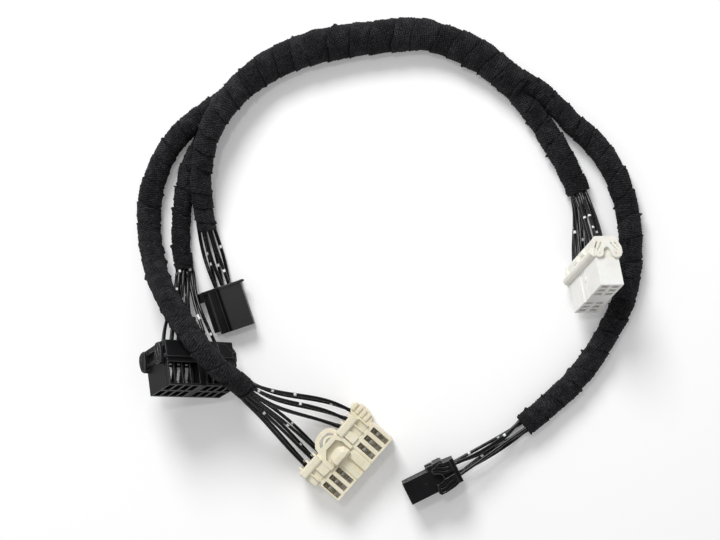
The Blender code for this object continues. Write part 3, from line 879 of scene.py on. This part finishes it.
def connector_d():
    """The white connector on branch D, set on its long edge."""
    seat = Seat((599, 299), (0.275, 0.415, 0.868), (0.131, -0.91, 0.393), (32, 11.3, 12.8), 11, 2.2,
                0.8, 1.6, [-13.2, -9.2, -5.2, 5.2, 9.2, 13.2], (2.7, 3.4))
    back = seat.back
    left = [(0, -18.2), (1, -17.6), (1.7, -16.6), (1.9, -14.9), (2.5, -13.8), (3.6, -13.2), (5, -13.2),
            (6, -14), (6.3, -16), (6, -21), (5.2, -23.4), (0, -23.6)]
    right = [(0, -18.2), (-1, -17.6), (-1.7, -16.6), (-1.9, -14.9), (-2.5, -13.8), (-3.6, -13),
             (-5.2, -13), (-6.6, -13.7), (-7.4, -15.6), (-7.4, -18.2), (-6.2, -21.2), (-5.2, -23.4),
             (0, -23.6)]
    curves = [
        [(2.3, -20.4), (3.2, -18.6), (4.6, -16.9), (4.3, -15.2), (3.6, -14.6)],
        [(4.3, -20.6), (4.9, -19.2), (5.6, -18)],
        [(-2.3, -20.4), (-3.2, -18.6), (-4.7, -16.9), (-4.5, -15.2), (-3.8, -14.6)],
        [(-4.4, -20.4), (-5.4, -18.4), (-6.2, -17)],
    ]
    collar = [(-5.9, -12.6), (5.3, -12.6), (5.3, -22.6), (4.5, back), (-5, back), (-5.9, -22.8)]
    bar = [(5, -18.6), *arc((5.9, -16.4), 2.15, 250, 450, 9), (5, -14.2)]
    adds = [
        box((-16, 16), (-5.65, 5.65), (-13.4, 0)),
        prism("x", collar, (-15.8, 15.8)),
        prism("x", bar, (-17.2, 15.6)),
        prism("x", [(4.8, -22.6), (6.5, -22), (6.9, -21), (6.6, -19.8), (4.8, -18.4)], (2.6, 6)),
        prism("x", [(4.8, -21.6), (6.6, -21.2), (7.2, -20.2), (7, -18.8), (4.8, -17.4)], (-4.4, -0.8)),
        prism("y", [(1.2, -9.8), (2.9, -9.8), (3.2, -9), (2.2, -7.8), (1.2, -8.2)], (4.2, 6.3)),
        prism("x", disc((0.3, -10.2), 0.45), (15.9, 16.12)),
    ]
    cuts = [
        *cells(seat, 9),
        box((-3.6, -2.9), (4.9, 6.4), (-13.2, 1)),
        box((1.2, 1.9), (4.9, 6.4), (-13.2, 1)),
        box((-2.9, 1.2), (5.35, 6.4), (-13.2, 1)),
        *windows(seat, 1.1, (-6.4, -5), (-11.4, -2.2)),
    ]
    for side in (-1, 1):
        add_legs(adds, cuts, side, [left, right], curves, 15.2, 17.6)
    housing = mould("connector_d", seat.matrix, adds, cuts, 0.2, [WHITE], "white_plastic",
                    "connector_d_housing")
    # Faces behind the front box, except those on the window side, get a warmer, darker tint as painted shade.
    housing.data.materials.append(WARM_SHADED)
    for face in housing.data.polygons:
        face.material_index = int(face.center.z < -12.5 * MM and face.center.y > -5.7 * MM)
    return seat


def connector_b():
    """The wide black connector on branch B."""
    seat = Seat((195, 391.5), (0.821, -0.060, -0.567), (0.15, -0.936, 0.317), (36.2, 18.5, 13.4), 8, 1.9,
                0.8, 1.3, [-15.8, -11.6, -7.4, -3.5, 3.5, 7.4, 11.6, 15.8], (3.2, 7.2))
    back = seat.back
    far_lobes = [
        [(2, -13.3), (2.7, -16.4), (3, -19.4), (5, -20.9), (7.7, -20.7), (8.6, -17.4), (8.3, -13),
         (7.4, -11.2), (4.6, -10.9), (2.8, -11.6)],
        [(-6.1, -20), (-6.3, -17), (-6.6, -14), (-7.5, -11.6), (-9.2, -11), (-10.9, -12.2),
         (-12, -15), (-12.1, -17.4), (-11.5, -19.4), (-9.6, -20.6), (-7.2, -20.8)],
    ]
    far_curves = [
        [(4.3, -19.8), (4.3, -17), (5.4, -14.6), (5, -12.6)],
        [(6.5, -19.8), (6.5, -17.2), (7.2, -14.6)],
        [(-8, -19.6), (-8.2, -16.8), (-9.4, -14.4), (-9, -12.6)],
        [(-10.2, -19.2), (-10.4, -16.8), (-10.9, -14.8)],
    ]
    near_lobes = [
        [(1.8, -18.6), (2.2, -14.4), (3.2, -12.4), (4.6, -11.4), (7, -11.4), (8.3, -12.8), (8.4, -16.6),
         (6.4, -19.4)],
        [(-1.8, -18.6), (-2.2, -14.4), (-3.2, -12.4), (-5, -11.4), (-7.6, -11.4), (-9.4, -13),
         (-9.6, -17), (-7.4, -19.6)],
    ]
    near_curves = [
        [(4, -17.8), (4.4, -15.8), (5.6, -13.4)],
        [(-4, -17.8), (-4.6, -15.8), (-6, -13.4)],
    ]
    plate = [(-18.6, -21), (7.4, -21), (8.2, -20.3), (13.2, -20), (16.4, -16.2), (16.6, -13.2),
             (-18.4, -13.2)]
    adds = [
        box((-18.1, 18.1), (-9.25, 9.25), (-13.6, 0)),
        box((-17.6, 17.6), (-9.4, 9), (back, -13)),
        prism("y", plate, (8.6, 10.3)),
        prism("y", [(12.8, -16), (18.7, -14.4), (18.7, -9.8), (16.8, -9), (12.8, -9)], (6.6, 8.9)),
        box((-19.2, -17), (-9.3, 9.6), (-20.9, -18.4)),
        box((17, 18.7), (-9.3, 7.6), (-19.6, -17.6)),
        box((-19, -17.8), (-9.6, 9.7), (-14.6, -13.2)),
    ]
    cuts = [
        *cells(seat, 12),
        box((-17.1, -2.2), (7.6, 11), (-11, -0.95)),
        box((2.2, 16.9), (7.6, 11), (-11, -0.95)),
        *windows(seat, 1.5, (1.2, 8), (-11, -0.95)),
        box((-1.3, 1.3), (8.4, 11), (-13, 1)),
        prism("y", [(7, -21.6), (8.4, -21.6), (9.6, -14.6), (8.4, -14.2)], (9.7, 11)),
        prism("z", [(-18.6, 9.6), (-18.6, 6), (-17.9, 6), (-17.9, 9.6)], (-12.6, 1)),
    ]
    for side, lobes, curves, outer in ((-1, far_lobes, far_curves, 20.4), (1, near_lobes, near_curves, 19.6)):
        add_legs(adds, cuts, side, lobes, curves, 17.2, outer, 1.1)
    mould("connector_b", seat.matrix, adds, cuts, 0.24, [BLACK, EDGE_HIGHLIGHT], "black_plastic", "connector_b_housing")
    return seat


def connector_c():
    """The ivory connector on branch C, with its arch and latch."""
    seat = Seat((365.5, 469), (0.66, 0.75, 0), (0.75, -0.66, 0), (37.8, 15, 12.1), 9.5, 2.8, 0.8, 2.2,
                [-17, -12.6, -8.1, 7, 11.7, 16.3], (2.6, 4.6))
    back = seat.back
    yoke = [(-10.4, -11.8), (-10.4, -17.4), (-6.6, -22), (2.8, -22), (4.9, -18.4), (4.7, -11.8)]
    hollow = [(2.9, -11), (3.1, -17), (1.6, -19.8), (-4.8, -19.8), (-8.2, -16.8), (-8.2, -11)]
    button = [(-7.2, -11), (-7.4, -14.8), (-5.9, -16.6), (-3.7, -17.3), (-0.2, -17.2), (2.2, -15.1),
              (2.5, -11.8), (1.7, -10.8)]
    crest = [(-6.6, -11.8), (-6.7, -13.9), (-6.2, -14.3), (-4.6, -14.5), (-0.6, -14.4), (0.3, -13.9),
             (1, -12.3), (0.8, -11.7)]
    mass = [(15.2, -22.6), (17.4, -24.6), (19.6, -24.6), (21.4, -21.8), (21.5, -17), (20.8, -14),
            (18.8, -12.7), (16.4, -12.9), (15.2, -15)]
    outer_arch = [(-7.4, -21), (-7, -23.4), (-5, -25.4), (-1.6, -26.2), (1.6, -25.6), (3.6, -23.8),
                  (4.1, -21)]
    inner_arch = [(-4.6, -21), (-4, -22.4), (-2.6, -23.2), (-1.2, -23.4), (0.2, -23.1), (1.2, -22.3),
                  (1.6, -21)]
    shelf = [(4.6, -22.2), (9, -22.2), (9.7, -21.6), (9.7, -18.9), (9.2, -18.2), (4.6, -18.2)]
    adds = [
        box((-18.9, 18.9), (-7.5, 7.5), (-12.3, 0)),
        box((-18.6, 18.6), (-7.6, 6.2), (back, -12)),
        box((5, 18.6), (5, 7.3), (-18.4, -12)),
        box((-20.4, -10.2), (5, 7.3), (-18.4, -12)),
        box((5.3, 9.2), (5, 8.5), (-18.4, -12.4)),
        box((-13.9, -10.2), (5, 8.5), (-18.4, -12.4)),
        prism("y", mass, (-6.4, 7.1)),
        prism("y", yoke, (5.4, 8.8)),
        frustum(button, button, (5.8, 9.3)),
        frustum(button, crest, (9.2, 12)),
        box((-0.4, 3.3), (5, 7.95), (-10.2, 0)),
        box((-5.5, -1.9), (5, 7.8), (-9.8, 0)),
        prism("y", strip(outer_arch, 2.3), (2.2, 5.9)),
        prism("y", strip(inner_arch, 1.1), (1.4, 5.2)),
    ]
    for low, high in ((4.3, 15.6), (-21, -9.6)):
        adds.append(prism("x", shelf, (low, high)))
    for tooth in (13, 16.6, -13.9, -17.3):
        profile = [(tooth - 3.5, 5), (tooth - 3.5, 7.4), (tooth - 1, 7.9), (tooth - 0.7, 9),
                   (tooth, 9), (tooth, 5)]
        adds.append(prism("z", profile, (-18.4, -12.6)))
    for z in (-23.2, -20.6, -18, -15.4):
        adds.append(box((17, 21), (6.8, 7.9), (z - 0.7, z + 0.7)))
    rib = [(0.8, back - 1.6), (4.8, back - 2.2), (6.3, back + 1), (0.8, back + 1)]
    for post in (14.3, 9.4, -10.4, -14.9, -19.2):
        adds.append(prism("x", rib, (post - 0.55, post + 0.55)))
    for x, z, radius, top in ((-19.9, -20.6, 1.8, 6.6), (-19.7, -17, 1.9, 6.9), (-19.2, -14, 1.5, 6)):
        adds.append(prism("y", disc((x, z), radius, 16), (-6.4, top)))
    cuts = [
        *cells(seat, 9),
        *windows(seat, 1.25, (3.4, 9), (-10.4, -1.1)),
        prism("y", hollow, (6.1, 9.4)),
        box((-1.7, -0.6), (6.6, 9), (-10.2, 1)),
        box((3.5, 4.3), (7, 9), (-11.2, 1)),
        box((-6.4, -5.7), (7, 9), (-11.2, 1)),
        prism("x", [(-4.8, -19.4), (4.8, -19.4), (4.8, -18.5), (-4.8, -18.5)], (20.6, 22)),
        prism("x", [(-4.8, -19.8), (4.8, -19.8), (4.8, -18.9), (-4.8, -18.9)], (-22.4, -20.6)),
    ]
    mould("connector_c", seat.matrix, adds, cuts, 0.26, [IVORY], "ivory_plastic", "connector_c_housing")
    return seat


def ribbon(work, line, width):
    """A bent strip of metal of this width across x, along a line of points in millimetres."""
    rows = []
    for x, y, z in line:
        left, right, under = x - width / 2, x + width / 2, y - TERMINAL_THICKNESS
        corners = ((left, y, z), (right, y, z), (right, under, z), (left, under, z))
        rows.append([work.verts.new(Vector(corner) * MM) for corner in corners])
    for first, second in zip(rows, rows[1:]):
        for k in range(4):
            m = (k + 1) % 4
            work.faces.new((first[k], first[m], second[m], second[k]))
    work.faces.new(rows[0])
    work.faces.new(rows[-1][::-1])


def terminals(name, seat, columns, pieces, look):
    """Terminals seen in the windows: each piece is a bent strip placed in every listed column."""
    work = bmesh.new()
    for column in columns:
        for line, width in pieces:
            ribbon(work, [(seat.columns[column] + x, y, z) for x, y, z in line], width)
    obj = add_object(name, mesh_of(work, name))
    obj.matrix_world = seat.matrix
    obj.data.materials.append(look)
    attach(obj, "root")


def light_world():
    """White surroundings: plain on the object, full behind it, and darker overhead in reflections."""
    scene = bpy.context.scene
    scene.view_settings.view_transform = "Standard"
    world = bpy.data.worlds.new("studio")
    scene.world = world
    world.use_nodes = True
    nodes = Nodes(world.node_tree)
    height = nodes.node("SeparateXYZ", "Z", {0: nodes.node("TexCoord", "Generated", {})})
    above = nodes.span(height, 0.35, 0.8, 1.0, OVERHEAD_LEVEL)
    lit = nodes.blend(nodes.any_ray("Is Glossy Ray"), WORLD_LEVEL, above)
    seen = nodes.any_ray("Is Camera Ray", "Is Transmission Ray")
    strength = nodes.blend(seen, lit, 1.0)
    nodes.set(nodes.tree.nodes["Background"], {"Color": (1, 1, 1, 1), "Strength": strength})


def add_lamp(name, place, size, power):
    data = bpy.data.lights.new(name, "AREA")
    data.shape = "DISK"
    data.size = size
    data.energy = power
    lamp = add_object(name, data)
    lamp.location = place
    lamp.rotation_euler = (-Vector(place)).to_track_quat("-Z", "Y").to_euler()
    lamp.visible_camera = False


def add_floor():
    corners = np.array([(-1, -1, 0), (1, -1, 0), (1, 1, 0), (-1, 1, 0)]) * FLOOR_HALF
    floor = make_mesh("floor", corners, [(0, 1, 2, 3)])
    look = Look("floor_look", FLOOR_COLOUR, 0.9)
    look.set(look.shader, {"Specular IOR Level": 0.1, "Emission Color": (1, 1, 1, 1)})
    seen = look.any_ray("Is Camera Ray", "Is Glossy Ray", "Is Transmission Ray")
    glow = look.math("MULTIPLY", seen, FLOOR_GLOW)
    look.set(look.shader, {"Emission Strength": glow})
    floor.data.materials.append(look.material)


make_camera()
TAPE = tape_look()
WIRE_LOOK = wire_look()

main_line = wrap("tape_main", ROUTE_MAIN, 104, 11, 1, ["taped_trunk", "taped_branch_a"])
line_b = wrap("tape_b", ROUTE_B, 64, 12, 1, ["taped_branch_b"])
line_c = wrap("tape_c", ROUTE_C, 76, 13, 1, ["taped_branch_c"])
line_d = wrap("tape_d", ROUTE_D, 76, 14, -1, ["taped_branch_d"])
line_e = wrap("tape_e", ROUTE_E, 76, 15, -1, ["taped_branch_e"])
line_a = main_line[::-1]
BLACK = plastic_look("black_plastic_look", (0.007, 0.007, 0.008), (0.0115, 0.0115, 0.0125), 0.38, level=0.08)
# Lighter, glossier black for the rounded edges: its lighter colour is a painted highlight.
EDGE_HIGHLIGHT = plastic_look("polished_edge_highlight_look", (0.02, 0.02, 0.021), (0.05, 0.05, 0.052), 0.2)
MATT = plastic_look("matt_plastic_look", (0.017, 0.017, 0.017), (0.022, 0.022, 0.022), 0.45, level=0.28)
# Smoother black, with its colour darkened as painted shade.
SMOOTH_SHADED = plastic_look("smooth_shaded_plastic_look", (0.003, 0.003, 0.0035), (0.005, 0.005, 0.0055), 0.25, level=0.18)
IVORY = plastic_look("ivory_plastic_look", (0.75, 0.69, 0.515), (0.88, 0.83, 0.665), 0.3, depth=0.08)
WHITE = plastic_look("white_plastic_look", (0.80, 0.79, 0.75), (0.88, 0.88, 0.86), 0.4, depth=0.1)
# Warmer and darker than the white: painted shade on the collar of connector D.
WARM_SHADED = plastic_look("warm_shaded_plastic_look", (0.77, 0.75, 0.67), (0.86, 0.85, 0.79), 0.34, depth=0.1)
TIN = metal_look("tin_look", (0.62, 0.62, 0.6), (0.92, 0.92, 0.9), 0.3)
BRASS = metal_look("dull_terminal_look", (0.22, 0.205, 0.18), (0.46, 0.43, 0.38), 0.4)

seat_a, seat_b, seat_c, seat_d, seat_e = plug_a(), connector_b(), connector_c(), connector_d(), connector_e()
terminals("terminals_b", seat_b, (0, 1, 2), [
    ([(0.5, 6.9, -8.9), (0.55, 6.7, -7.6), (0.2, 6.2, -5.2), (-0.3, 5.9, -3.0), (-0.3, 6.0, -1.9)], 1.5),
    ([(0.5, 7.1, -10.6), (0.5, 7.1, -9.9)], 1.3),
], TIN)
terminals("terminals_b_far", seat_b, (3, 4, 5, 6, 7), [
    ([(0.2, 4.6, -10.4), (0.2, 4.6, -6.0), (0.0, 4.2, -1.9)], 1.4),
], BRASS)
terminals("terminals_c", seat_c, range(6), [
    ([(0, 5.6, -10.0), (0, 6.1, -9.6), (0, 6.1, -9.0), (0, 5.5, -8.6)], 1.5),
    ([(0, 5.4, -7.9), (0, 6.2, -7.5), (0, 6.3, -6.4), (0, 6.1, -5.2), (0, 5.4, -4.9)], 1.7),
    ([(0, 5.6, -4.2), (0, 6.5, -3.8), (0, 6.5, -2.0), (0, 5.9, -1.5)], 1.9),
], BRASS)

fan("a", line_a, seat_a, [
    (0, 0, -0.6, 0), (0, 1, 0.5, 0), (1, 0, -0.5, 0.3), (1, 1, 0.9, 0), (2, 0, 0.1, 0), (2, 1, 1.2, 0),
])
fan("b", line_b, seat_b, [
    (0, 0, -0.5, 0), (1, 1, -0.5, 0), (1, 0, 0, 0.5), (2, 1, 0, 0), (3, 0, 0, 0),
    (3, 1, 0, 0), (4, 1, -1, 0), (5, 0, -2, 0), (5, 1, -4, 0), (6, 0, -4.5, 3),
])
fan("c", line_c, seat_c, [
    (0, 0, 0, 0.5), (0, 1, 1.2, 0), (1, 0, 0.4, 0.3), (1, 1, 1.8, 0), (2, 0, 0.6, 0.5), (2, 1, 2, -1),
    (3, 0, -2.2, 0.8), (3, 1, -3.6, 1.2), (4, 0, -0.4, 0.3), (4, 1, -3, 0), (5, 0, 1.2, 0.5), (5, 1, -1.4, 0),
])
fan("d", line_d, seat_d, [
    (0, 0, 0, 0), (0, 1, 0, 0), (1, 0, 0, 0.4), (1, 1, 0, 0), (2, 0, 0, 0),
    (3, 0, 0.6, 0), (3, 1, 0.7, 0), (4, 0, 0, 0.4), (4, 1, 0.5, 0), (5, 0, 0, 0),
])
fan("e", line_e, seat_e, [
    (0, 0, 0, 0.6), (0, 1, 0, -0.4), (1, 0, 0, -3), (1, 1, 0, 2.6), (2, 0, 0, -1.4), (2, 1, 0, 0.9),
])
print_ticks()

light_world()
add_lamp("key", (-0.34, 0.84, 0.82), 0.5, 11)
add_lamp("glint", (-0.2, 0.25, 1.15), 0.1, 1.4)
add_floor()
